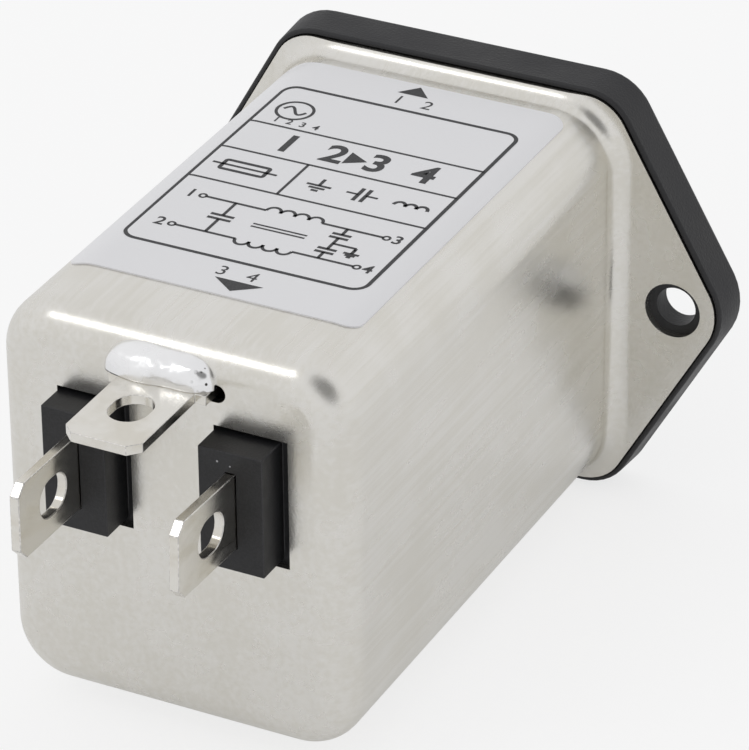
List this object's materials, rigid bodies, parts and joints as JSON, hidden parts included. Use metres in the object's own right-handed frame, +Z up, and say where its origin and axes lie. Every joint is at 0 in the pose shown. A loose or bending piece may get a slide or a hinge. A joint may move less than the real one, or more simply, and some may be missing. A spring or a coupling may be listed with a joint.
{
  "type": "emi line filter",
  "caption": "Panel-mounted mains inlet with a choke filter in a drawn metal can and blade terminals.",
  "frame": {"origin": "midway between the two mounting holes, on the rear face of the can's sheet flange, which lies against the panel", "axes": "+Y from the flange back through the panel along the can, towards the load terminals; +Z up towards the can's labelled side and the earth pin; +X across the ears, towards the line pin"},
  "size_m": [0.0488, 0.0628, 0.0366],
  "materials": {
    "plated_steel": "satin tin plate, drawn sheet steel",
    "bezel_plastic": "moulded black, satin",
    "carrier_plastic": "moulded charcoal, fine grain",
    "pin_metal": "nickel-plated brass, bright",
    "tab_metal": "tin-plated brass, bright",
    "solder": "bright tin alloy bead",
    "label_film": "pale printed film, satin",
    "liner_film": "translucent film, satin",
    "capacitor_box": "moulded amber box, satin",
    "capacitor_disc": "dipped blue epoxy",
    "resistor_body": "lacquered blue-grey body",
    "ferrite": "coated ferrite ring, matt green",
    "divider_board": "pressed board",
    "enamelled_copper": "enamelled copper wire",
    "wire_insulation": "green insulation with yellow stripe"
  },
  "bodies": {
    "root": {"can": "plated_steel", "inlet_moulding": "bezel_plastic", "line_pin": "pin_metal", "neutral_pin": "pin_metal", "earth_pin": "pin_metal", "terminal_carrier": "carrier_plastic", "line_tab": "tab_metal", "neutral_tab": "tab_metal", "earth_tab": "tab_metal", "solder_joint": "solder", "label": "label_film", "insulating_liner": "liner_film", "x_capacitor": "capacitor_box", "line_y_capacitor": "capacitor_disc", "neutral_y_capacitor": "capacitor_disc", "discharge_resistor": "resistor_body", "choke_core": "ferrite", "core_divider": "divider_board", "line_winding": "enamelled_copper", "neutral_winding": "enamelled_copper", "earth_wire": "wire_insulation"}
  },
  "joints": []
}
